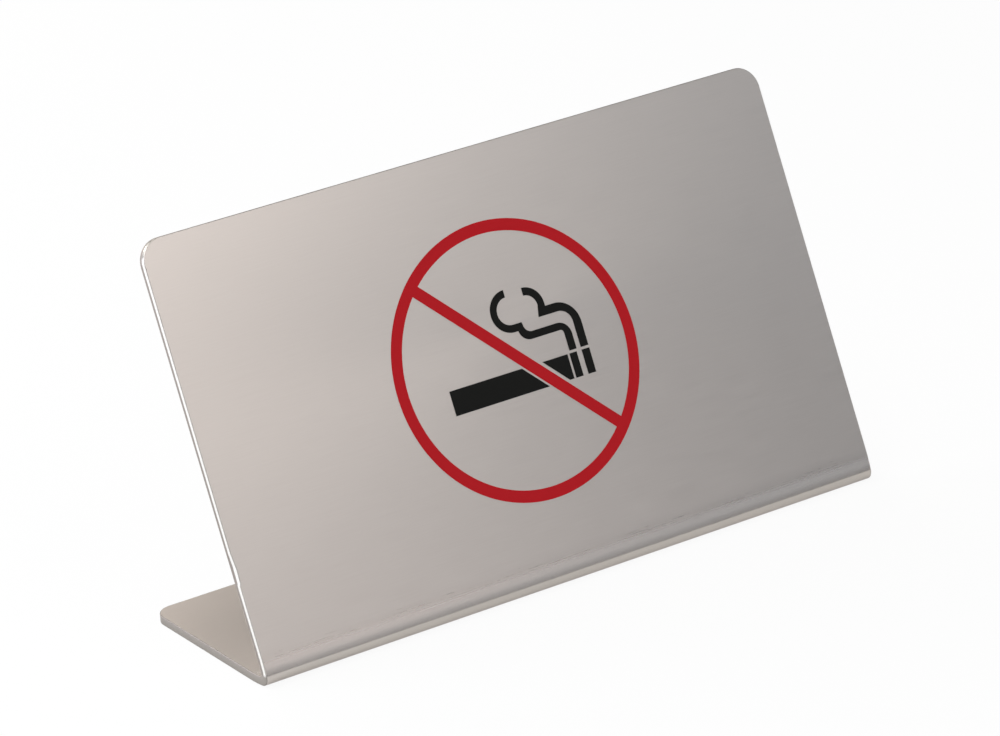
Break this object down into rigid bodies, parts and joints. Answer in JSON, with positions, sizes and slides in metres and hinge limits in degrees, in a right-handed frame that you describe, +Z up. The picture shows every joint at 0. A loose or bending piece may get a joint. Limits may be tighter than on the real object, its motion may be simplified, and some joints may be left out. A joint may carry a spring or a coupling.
{
  "type": "no smoking sign",
  "caption": "Free-standing no smoking sign: a steel sheet folded into a foot and a leaning panel with rounded corners, printed with the usual ringed symbol.",
  "frame": {"origin": "on the surface the sign stands on, under the middle of its box", "axes": "+Z up; +X along the fold, to the right of someone reading the sign; the panel faces -Y and leans back, and the foot runs back to +Y"},
  "size_m": [0.12, 0.0342, 0.0666],
  "materials": {
    "steel": "fine satin grain, bright cut edges",
    "red_ink": "screen-printed red enamel ink, satin",
    "black_ink": "screen-printed black enamel ink, satin"
  },
  "bodies": {
    "root": {"sign_plate": "steel", "red_print": "red_ink", "black_print": "black_ink"}
  },
  "joints": []
}
